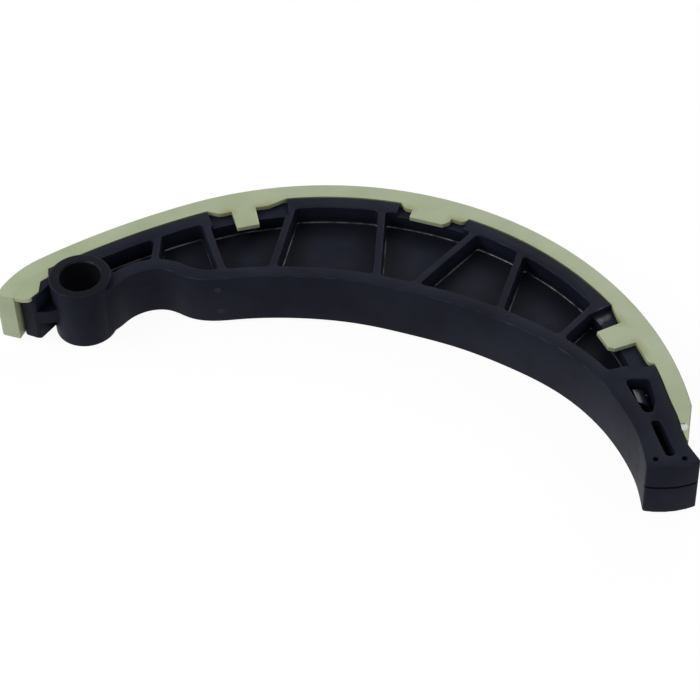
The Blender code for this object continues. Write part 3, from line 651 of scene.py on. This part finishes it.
def origin_of_plan():
    """Where the pivot axis lies in the frame, in metres."""
    plan = np.array(carrier_outline() + shoe_outline(0.0))
    low, high = plan.min(axis=0), plan.max(axis=0)
    return -(low[0] + high[0]) / 2 * MM, -(low[1] + high[1]) / 2 * MM


PIVOT_X, PIVOT_Y = origin_of_plan()


def in_frame(x, y, height):
    """A plan place and its height from the middle plane, in metres in the frame."""
    return x * MM + PIVOT_X, y * MM + PIVOT_Y, (MIDDLE + height) * MM


def at(station, depth, height):
    """A place on the guide, in metres in the frame."""
    return in_frame(*place(station, depth), height)


def linked(name, data):
    """A new object in the scene."""
    made = bpy.data.objects.new(name, data)
    bpy.context.scene.collection.objects.link(made)
    return made


def from_bmesh(name, bm):
    """A new object with the finished mesh."""
    mesh = bpy.data.meshes.new(name)
    bm.to_mesh(mesh)
    bm.free()
    return linked(name, mesh)


def solid(name, layers):
    """A solid lofted up through layers of (outline, height or heights), all with as many points."""
    bm = bmesh.new()
    rings = []
    for outline, height in layers:
        heights = height if isinstance(height, list) else [height] * len(outline)
        points = [(x * MM, y * MM, z * MM) for (x, y), z in zip(outline, heights)]
        rings.append([bm.verts.new(point) for point in points])
    bm.faces.new(reversed(rings[0]))
    bm.faces.new(rings[-1])
    for lower, upper in zip(rings, rings[1:]):
        for i in range(len(lower)):
            bm.faces.new((lower[i - 1], lower[i], upper[i], upper[i - 1]))
    bmesh.ops.triangulate(bm, faces=[face for face in bm.faces if len(face.verts) == 4])
    return from_bmesh(name, bm)


def turned(name, profile):
    """A solid of revolution about the pivot from (radius, height) points, top to bottom."""
    mesh = bpy.data.meshes.new(name)
    points = [(r * MM, 0.0, z * MM) for r, z in profile]
    mesh.from_pydata(points, [(i, i + 1) for i in range(len(points) - 1)], [])
    made = linked(name, mesh)
    screw = made.modifiers.new("turn", "SCREW")
    screw.axis = "Z"
    screw.angle = 2 * pi
    screw.steps = screw.render_steps = TURNED_FACETS
    screw.use_merge_vertices = True
    screw.merge_threshold = 0.00001
    return made


def both_sides(made):
    """Repeats a solid on the other side of the rail's middle plane."""
    mirror = made.modifiers.new("other side", "MIRROR")
    mirror.use_axis = (False, False, True)
    mirror.use_mirror_merge = False
    return made


def boolean(body, tool, operation):
    """Cuts or joins with the exact solver."""
    step = body.modifiers.new(f"{operation.lower()} {tool.name}", "BOOLEAN")
    step.operation = operation
    step.solver = "EXACT"
    step.object = tool


def quarter(radius):
    """(inset, drop) pairs of a rounded edge, from the side to the end face."""
    turns = [pi / 2 * i / EDGE_STEPS for i in range(EDGE_STEPS + 1)]
    return [(radius * (1 - cos(a)), radius * (1 - sin(a))) for a in turns]


def rail_form():
    """The rail's solid with rounded edges; its lower face slopes away to the foot's level."""
    outline = carrier_outline()
    nose, foot = min(x for x, _ in outline), max(x for x, _ in outline)
    slope = BOSS_PROUD / (foot - nose)
    layers = []
    for i, d in reversed(quarter(EDGE_CHAMFER)):
        ring = inset(outline, i)
        layers.append((ring, [d - HALF_RAIL - slope * (x - nose) for x, _ in ring]))
    layers += [(inset(outline, i), HALF_RAIL - d) for i, d in quarter(EDGE_CHAMFER)]
    return solid("carrier_form", layers)


def hollow(name, outline):
    """A cutter for a hollow of each side: filleted floor and rounded mouth."""
    floor = WEB_THICKNESS / 2
    layers = [(inset(outline, d), floor + i) for i, d in quarter(FLOOR_FILLET)]
    layers += [(inset(outline, -i), HALF_RAIL - d) for i, d in quarter(MOUTH_ROUND)]
    layers.append((inset(outline, -MOUTH_ROUND), CUT_HEIGHT))
    return both_sides(solid(name, layers))


def sorted_pad():
    """The block's corners: far from the shoe from nose to foot, then near the shoe and back."""
    by_depth = sorted(SMALL_PAD, key=lambda corner: -corner[1])
    inner, outer = sorted(by_depth[:2]), sorted(by_depth[2:])
    return inner[0], inner[1], outer[1], outer[0]


def small_pad():
    """The block in the small pocket: its top falls away towards the shoe, ever more steeply."""
    inner_near, inner_far, outer_far, outer_near = [place(FACE_END + s, d) for s, d in sorted_pad()]
    strip = hypot(outer_near[0] - inner_near[0], outer_near[1] - inner_near[1]) / PAD_STRIPS
    height, rows = HALF_RAIL - SMALL_PAD_DROP + PAD_CROWN, []
    bm = bmesh.new()
    for i in range(PAD_STRIPS + 1):
        share = i / PAD_STRIPS
        if i:
            height -= strip * tan(radians(PAD_SLOPES[0] + (PAD_SLOPES[1] - PAD_SLOPES[0]) * share))
        ends = [[a + (b - a) * share for a, b in zip(one, other)]
                for one, other in ((inner_near, outer_near), (inner_far, outer_far))]
        points = [(x * MM, y * MM, z * MM) for z in (0.0, height) for x, y in ends]
        rows.append([bm.verts.new(point) for point in points])
    for before, after in zip(rows, rows[1:]):
        for a, b in ((0, 1), (1, 3), (3, 2), (2, 0)):
            bm.faces.new((before[a], before[b], after[b], after[a]))
    for row in (rows[0], rows[-1]):
        bm.faces.new((row[0], row[1], row[3], row[2]))
    bmesh.ops.recalc_face_normals(bm, faces=bm.faces)
    bmesh.ops.triangulate(bm, faces=bm.faces)
    return both_sides(from_bmesh("small_pad", bm))


def boss_form():
    """The pivot boss with rounded rims."""
    profile = [(0, HALF_BOSS)]
    profile += [(BOSS_RADIUS - i, HALF_BOSS - d) for i, d in reversed(quarter(EDGE_CHAMFER))]
    return turned("boss_form", profile + [(r, -z) for r, z in reversed(profile)])


def bore_form():
    """The cutter of the pivot bore, with chamfered mouths."""
    wide = BORE_RADIUS + BORE_CHAMFER + OVERSHOOT
    mouth = HALF_BOSS - BORE_CHAMFER
    profile = [(0, CUT_HEIGHT), (wide, CUT_HEIGHT), (BORE_RADIUS, mouth)]
    return turned("pivot_bore", profile + [(r, -z) for r, z in reversed(profile)])


def carrier_mesh():
    """The carrier with its boss, pockets, recesses and foot."""
    body, tools = rail_form(), []

    def step(tool, operation="DIFFERENCE"):
        boolean(body, tool, operation)
        tools.append(tool)

    finger_side = CARRIER_EDGE + FINGER_THICKNESS
    notch = anticlockwise([place(s, d) for s, d in (
        (-OVERSHOOT, finger_side), (PIVOT_STATION - BORE_RADIUS, finger_side),
        (PIVOT_STATION, PIVOT_DEPTH), (PIVOT_STATION, 2 * PIVOT_DEPTH), (-OVERSHOOT, 2 * PIVOT_DEPTH))])
    step(both_sides(solid("nose_notch", [(notch, WEB_THICKNESS / 2), (notch, CUT_HEIGHT)])))
    step(boss_form(), "UNION")
    for i, outline in enumerate(pocket_outlines()):
        step(hollow(f"pocket_{i + 1}", outline))
    step(hollow("small_pocket", small_pocket_outline()))
    step(hollow("foot_slot", foot_slot_outline()))
    step(small_pad(), "UNION")
    floor = HALF_RAIL - RECESS_DEPTH
    for i, clip in enumerate(clips()):
        recess = recess_outline(clip)
        step(both_sides(solid(f"clip_recess_{i + 1}", [(recess, floor), (recess, CUT_HEIGHT)])))
    flange = inset(nose_flange_outline(), -SEAT_GAP)
    step(solid("nose_recess", [(flange, floor), (flange, CUT_HEIGHT)]))
    step(bore_form())
    half = FOOT_GROOVE_WIDTH / 2
    inner, outer = FOOT_STATION - FOOT_GROOVE_DEPTH, FOOT_STATION + 2 * FOOT_END_BULGE
    groove = box_outline(inner, outer, 0.0, 2 * FOOT_DEPTH)
    step(solid("foot_groove", [(groove, -half), (groove, half)]))
    for i, (station, depth) in enumerate(PIN_HOLES_PAST_FACE):
        centre = place(FACE_END + station, depth)
        hole = arc(centre, PIN_HOLE_DIAMETER / 2, 0.0, 2 * pi, PIN_HOLE_FACETS)[:-1]
        layers = [(hole, HALF_RAIL - PIN_HOLE_DEPTH), (hole, CUT_HEIGHT)]
        step(both_sides(solid(f"pin_hole_{i + 1}", layers)))
    return finished("carrier_moulding", body, tools)


def shoe_mesh():
    """The shoe with its nose flange, clips and barbs."""
    rise = [(anticlockwise(shoe_outline(i)), HALF_RAIL - d) for i, d in quarter(RUNNING_EDGE_CHAMFER)]
    layers = [(outline, -z) for outline, z in reversed(rise)] + rise
    body, tools = solid("shoe_form", layers), []
    outer = HALF_RAIL - FLANGE_SET_BACK_SHOWN
    under = HALF_RAIL - FLANGE_SET_BACK - FLANGE_THICKNESS

    def plate(name, outline):
        edge = [(inset(outline, i), outer - d) for i, d in quarter(FLANGE_ROUND)]
        return solid(name, [(outline, under)] + edge)

    tools.append(plate("nose_flange", nose_flange_outline()))
    for i, clip in enumerate(clips()):
        tools.append(both_sides(plate(f"clip_{i + 1}", clip_outline(clip))))
        if clip["long"]:
            base, tip = barb_outlines(clip)
            layers = [(tip, under - BARB_DROP), (base, under), (base, (under + outer) / 2)]
            tools.append(both_sides(solid(f"barb_{i + 1}", layers)))
    for tool in tools:
        boolean(body, tool, "UNION")
    first, last = (FACE_END + station for station in TAIL_NOTCH)
    notch = box_outline(first, last, TAIL_NOTCH_BED, SHOE_THICKNESS + OVERSHOOT)
    layers = [(notch, HALF_RAIL - NOTCH_SHOWN), (notch, CUT_HEIGHT)]
    tools.append(both_sides(solid("tail_notch", layers)))
    boolean(body, tools[-1], "DIFFERENCE")
    return finished("shoe_moulding", body, tools)


def finished(name, body, tools):
    """The body with its steps applied, placed in the frame and shaded smooth; the tools go."""
    bpy.context.view_layer.update()
    mesh = bpy.data.meshes.new_from_object(body.evaluated_get(bpy.context.evaluated_depsgraph_get()))
    bm = bmesh.new()
    bm.from_mesh(mesh)
    bmesh.ops.remove_doubles(bm, verts=bm.verts, dist=SLIVER * MM)
    bmesh.ops.dissolve_degenerate(bm, dist=SLIVER * MM, edges=bm.edges)
    bm.to_mesh(mesh)
    bm.free()
    mesh.transform(Matrix.Translation((PIVOT_X, PIVOT_Y, MIDDLE * MM)))
    mesh.shade_smooth()
    mesh.set_sharp_from_angle(angle=radians(SHARP_ANGLE))
    for old in [body, *tools]:
        bpy.data.objects.remove(old)
    return linked(name, mesh)


def feed(tree, socket, value):
    """Sets an input to a value, or links another node's output to it."""
    if isinstance(value, Field):
        tree.links.new(value.socket, socket)
    else:
        socket.default_value = value


class Field:
    """A shader value that can be added, multiplied and so on in plain arithmetic."""

    def __init__(self, tree, socket):
        self.tree, self.socket = tree, socket

    def math(self, operation, *others):
        node = self.tree.nodes.new("ShaderNodeMath")
        node.operation = operation
        for socket, value in zip(node.inputs, (self, *others)):
            feed(self.tree, socket, value)
        return Field(self.tree, node.outputs[0])

    def __add__(self, other):
        return self.math("ADD", other)

    def __sub__(self, other):
        return self.math("SUBTRACT", other)

    def __rsub__(self, other):
        return (self * -1.0) + other

    def __mul__(self, other):
        return self.math("MULTIPLY", other)

    __radd__ = __add__

    def ramp(self, low, high):
        """0 below low, 1 above high."""
        return ((self - low) * (1.0 / (high - low))).math("MAXIMUM", 0.0).math("MINIMUM", 1.0)


class Finish:
    """A material under construction."""

    def __init__(self, name):
        self.material = bpy.data.materials.new(name)
        self.material.use_nodes = True
        self.tree = self.material.node_tree
        self.shader = self.tree.nodes["Principled BSDF"]

    def node(self, kind, settings=None, **sockets):
        """A new node; an underscore in an input's name stands for a space."""
        made = self.tree.nodes.new(kind)
        for key, value in (settings or {}).items():
            setattr(made, key, value)
        self.fill(made, sockets)
        return made

    def fill(self, node, sockets):
        """Sets or links the inputs of a node by their names."""
        for key, value in sockets.items():
            feed(self.tree, node.inputs[key.replace("_", " ")], value)

    def field(self, node, output):
        """One output of a node as a value."""
        return Field(self.tree, node.outputs[output])

    def noise(self, where, scale, detail=3.0, roughness=0.55):
        """Noise about 0.5."""
        sockets = {"Vector": where, "Scale": scale, "Detail": detail, "Roughness": roughness}
        return self.field(self.node("ShaderNodeTexNoise", **sockets), 0)

    def mix(self, share, first, second):
        """A colour between two, by a share that may vary."""
        made = self.tree.nodes.new("ShaderNodeMix")
        made.data_type = "RGBA"
        for socket, value in zip((made.inputs["Factor"], *made.inputs[6:8]), (share, first, second)):
            feed(self.tree, socket, (*value, 1.0) if isinstance(value, tuple) else value)
        return Field(self.tree, made.outputs[2])

    def set(self, **sockets):
        """Sets or links the shader's inputs."""
        self.fill(self.shader, sockets)


def patch(f, where, centre, radius, core=0.6):
    """1 in the core of a small ball about a place in the frame, falling to 0 at its rim."""
    away = f.node("ShaderNodeVectorMath", {"operation": "DISTANCE"}, Vector=where)
    away.inputs[1].default_value = centre
    return 1.0 - f.field(away, "Value").ramp(radius * MM * core, radius * MM)


def black_nylon():
    """Glass-filled black nylon: satin, slightly blue, with fine grain, gloss and worn rims, and painted
    shade in its hollows, its bore and a small pit.
    """
    f = Finish("black_nylon")
    texture_space = f.node("ShaderNodeTexCoord")
    where = f.field(texture_space, "Object")
    cloud = f.noise(where, 45.0)
    grain = f.noise(where, 2600.0, 2.0)
    flow = f.noise(where, 260.0, 4.0, 0.6)
    colour = f.mix(cloud.ramp(0.35, 0.65), BLACK_LOW, BLACK_HIGH)

    # Painted shade low down in the hollows, where the AO finds them enclosed
    axes = f.node("ShaderNodeSeparateXYZ", Vector=where)
    height = f.field(axes, "Z")
    web = (MIDDLE + WEB_THICKNESS / 2) * MM
    open_sky = f.node("ShaderNodeAmbientOcclusion", {"samples": 8}, Distance=0.009)
    inside = 1.0 - f.field(open_sky, "AO").ramp(0.82, 0.96)
    near_web = 1.0 - height.ramp(web + 0.0004, web + 0.0030)
    low_down = near_web * height.ramp(web - 0.0002, web) * 0.75
    colour = f.mix(low_down * inside, colour, HOLLOW_SHADE_COLOUR)

    # Darker on the boss's upper face, and painted shade in the bore
    across, along = f.field(axes, "X") - PIVOT_X, f.field(axes, "Y") - PIVOT_Y
    from_pivot = (across * across + along * along).math("POWER", 0.5)
    boss_top = (MIDDLE + HALF_BOSS) * MM
    on_boss = 1.0 - from_pivot.ramp((BOSS_RADIUS - 0.6) * MM, (BOSS_RADIUS - 0.3) * MM)
    boss_face = on_boss * height.ramp(boss_top - 0.0004, boss_top - 0.0002)
    colour = f.mix(boss_face * 0.7, colour, BOSS_COLOUR)
    in_bore = 1.0 - from_pivot.ramp((BORE_RADIUS + 0.05) * MM, (BORE_RADIUS + 0.15) * MM)
    colour = f.mix(in_bore * 0.8, colour, BORE_SHADE_COLOUR)

    for mark in PIN_MARKS:
        seen = patch(f, where, in_frame(*mark), PIN_MARK_RADIUS)
        colour = f.mix(seen * 0.8, colour, PIN_MARK_COLOUR)
    # The small pit: a painted dark spot of shade, with no hole cut
    pit = patch(f, where, in_frame(*SMALL_PIT), SMALL_PIT_RADIUS)
    colour = f.mix(pit * 0.9, colour, PIT_SHADE_COLOUR)

    # Glossier fillets at the floors, worn rims and a few spots
    normal = f.field(texture_space, "Normal")
    facing = f.field(f.node("ShaderNodeSeparateXYZ", Vector=normal), "Z")
    above_floor = height.ramp(web + 0.00002, web + 0.0001)
    below_wall = 1.0 - height.ramp(web + 0.0009, web + 0.0014)
    shiny = above_floor * below_wall * inside * facing.ramp(0.04, 0.2) * flow.ramp(0.34, 0.56)
    rail_top = (MIDDLE + HALF_RAIL) * MM
    rims = facing.ramp(0.2, 0.45) * (1.0 - facing.ramp(0.86, 0.96))
    shiny = shiny + rims * height.ramp(rail_top - 0.0010, rail_top - 0.0007) * (flow.ramp(0.42, 0.7) * 0.3)
    block = [sum(sizes) / len(SMALL_PAD) for sizes in zip(*SMALL_PAD)]
    spots = [(*block, HALF_RAIL - SMALL_PAD_DROP, *BLOCK_SPOT)]
    spots += [(s, d, HALF_RAIL - RECESS_DEPTH, radius, gloss) for s, d, radius, gloss in RECESS_SPOTS]
    for station, depth, z, radius, gloss in spots:
        shiny = shiny + patch(f, where, at(FACE_END + station, depth, z), radius) * gloss

    rough = 0.42 + flow * 0.16 + grain * 0.08 + in_bore * 0.3
    relief = grain * 0.7 + flow * 0.6
    bump = f.node("ShaderNodeBump", Strength=0.25, Distance=0.00006, Height=relief)
    f.set(Base_Color=colour, Roughness=rough, Normal=f.field(bump, 0))
    f.set(Coat_Weight=shiny.math("MINIMUM", 1.0), Coat_Roughness=0.26, Specular_IOR_Level=0.07)
    return f.material


def shaded_edge_stations(clip):
    """Stations along the free edges of a clip's pad, beside its tab, where the painted shade lies."""
    (tab_in, tab_out), (ramp_in, ramp_out) = clip["tab"], clip["ramps"]
    stations = [tab_in - distance for distance in EDGE_SHADES_BEFORE_TAB]
    stations += [tab_out + distance for distance in EDGE_SHADES_PAST_TAB]
    first, last = clip["start"] + ramp_in / 2, clip["end"] - ramp_out / 2
    return [station for station in stations if first < station < last]


def pale_nylon():
    """Unfilled nylon: pale yellow-green, a little translucent, with painted yellow shade in its corners and
    at the free edges of its pads, and a painted highlight in the tail notch.
    """
    f = Finish("pale_nylon")
    where = f.field(f.node("ShaderNodeTexCoord"), "Object")
    cloud = f.noise(where, 60.0)
    # Painted shade: yellow-brown in the corners that the AO finds enclosed, where the black carrier shows
    # through the thin nylon
    near = f.node("ShaderNodeAmbientOcclusion", {"samples": 8}, Distance=0.0025)
    shade = 1.0 - f.field(near, "AO")
    colour = f.mix(cloud.ramp(0.3, 0.7), PALE_LOW, PALE_HIGH)
    colour = f.mix(shade.ramp(0.3, 0.95) * 0.7, colour, CORNER_SHADE_COLOUR)

    # The painted shade lies on both sides, so the lower half is folded up onto the upper one
    axes = f.node("ShaderNodeSeparateXYZ", Vector=where)
    upper = (f.field(axes, "Z") - MIDDLE * MM).math("ABSOLUTE") + MIDDLE * MM
    folded = f.node("ShaderNodeCombineXYZ", X=f.field(axes, "X"), Y=f.field(axes, "Y"), Z=upper)
    for clip in clips():
        edge = SHOE_THICKNESS + clip["pad"]
        for station in shaded_edge_stations(clip):
            centre = at(station, edge + 0.3, HALF_RAIL)
            edge_shade = patch(f, f.field(folded, 0), centre, EDGE_SHADE_RADIUS, 0.1)
            colour = f.mix(edge_shade * EDGE_SHADE_SHARE, colour, EDGE_SHADE_COLOUR)
    # Painted highlight: a near-white spot in the tail notch, standing in for its bright glint
    notch = at(FACE_END + sum(TAIL_NOTCH) / 2, TAIL_NOTCH_BED + 0.6, HALF_RAIL - NOTCH_SHOWN)
    colour = f.mix(patch(f, where, notch, 1.5) * 0.9, colour, NOTCH_HIGHLIGHT_COLOUR)

    grain = f.noise(where, 1400.0, 3.0)
    rough = 0.36 + cloud * 0.08 + grain * 0.06
    bump = f.node("ShaderNodeBump", Strength=0.12, Distance=0.00005, Height=grain)
    f.set(Base_Color=colour, Roughness=rough, Normal=f.field(bump, 0))
    f.set(Subsurface_Weight=0.18, Subsurface_Radius=(1.0, 0.9, 0.45), Subsurface_Scale=0.002)
    return f.material


def seen_rays(tree):
    """1 for the rays that see the backdrop: from the camera, in gloss and through clear pieces."""
    path = tree.nodes.new("ShaderNodeLightPath")
    kinds = ("Is Camera Ray", "Is Glossy Ray", "Is Transmission Ray")
    rays = [Field(tree, path.outputs[kind]) for kind in kinds]
    return (rays[0] + rays[1] + rays[2]).math("MINIMUM", 1.0)


def floor():
    """A white floor that shows the object's shadow faintly."""
    mesh = bpy.data.meshes.new("floor")
    corners = [(x * FLOOR_HALF, y * FLOOR_HALF, 0) for x, y in ((-1, -1), (1, -1), (1, 1), (-1, 1))]
    mesh.from_pydata(corners, [], [(0, 1, 2, 3)])
    made = linked("floor", mesh)
    made.location.z = -FLOOR_DROP
    f = Finish("white_floor")
    f.set(Base_Color=(0.9, 0.9, 0.9, 1.0), Roughness=0.9, Specular_IOR_Level=0.0)
    glow = f.node("ShaderNodeEmission", Color=(1.0, 1.0, 1.0, 1.0), Strength=FLOOR_GLOW)
    mix = f.tree.nodes.new("ShaderNodeMixShader")
    feed(f.tree, mix.inputs[0], seen_rays(f.tree) * FLOOR_GLOW_SHARE)
    f.tree.links.new(f.shader.outputs[0], mix.inputs[1])
    f.tree.links.new(glow.outputs[0], mix.inputs[2])
    f.tree.links.new(mix.outputs[0], f.tree.nodes["Material Output"].inputs["Surface"])
    mesh.materials.append(f.material)


def world():
    """Soft even light from all round, seen as white by the camera and in gloss."""
    made = bpy.data.worlds.new("studio")
    bpy.context.scene.world = made
    made.use_nodes = True
    tree = made.node_tree
    background = tree.nodes["Background"]
    background.inputs["Color"].default_value = (1.0, 1.0, 1.0, 1.0)
    strength = seen_rays(tree) * (1.0 - WORLD_LIGHT) + WORLD_LIGHT
    feed(tree, background.inputs["Strength"], strength)


def soft_light(name, where, width, height, watts):
    """A rectangular studio lamp aimed at the middle of the frame."""
    light = bpy.data.lights.new(name, "AREA")
    light.shape = "RECTANGLE"
    light.size, light.size_y = width, height
    light.energy = watts
    made = linked(name, light)
    made.location = where
    made.rotation_euler = (-Vector(where)).to_track_quat("-Z", "Y").to_euler()


def camera():
    """The photograph's view."""
    forward, right = Vector(VIEW_FORWARD).normalized(), Vector(VIEW_RIGHT).normalized()
    up = right.cross(forward).normalized()
    roll = radians(VIEW_ROLL)
    right, up = right * cos(roll) + up * sin(roll), up * cos(roll) - right * sin(roll)
    x, y, z = VIEW_POINT
    target = Vector((x * MM + PIVOT_X, y * MM + PIVOT_Y, z * MM))
    lens = bpy.data.cameras.new("photo_camera")
    lens.lens = VIEW_LENS
    lens.sensor_width = VIEW_SENSOR
    lens.clip_start = 0.01
    made = linked("photo_camera", lens)
    turn = Matrix((right, up, -forward)).transposed().to_4x4()
    made.matrix_world = Matrix.Translation(target - forward * VIEW_DISTANCE) @ turn
    bpy.context.scene.camera = made


def main():
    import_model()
    carrier, shoe = carrier_mesh(), shoe_mesh()
    carrier.data.materials.clear()
    shoe.data.materials.clear()
    carrier.data.materials.append(black_nylon())
    shoe.data.materials.append(pale_nylon())
    for piece, node in ((carrier, "carrier"), (shoe, "slide_shoe")):
        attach(piece, "root")
        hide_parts(node)
    floor()
    world()
    for lamp in LAMPS:
        soft_light(*lamp)
    camera()
    bpy.context.scene.view_settings.view_transform = "Standard"


main()
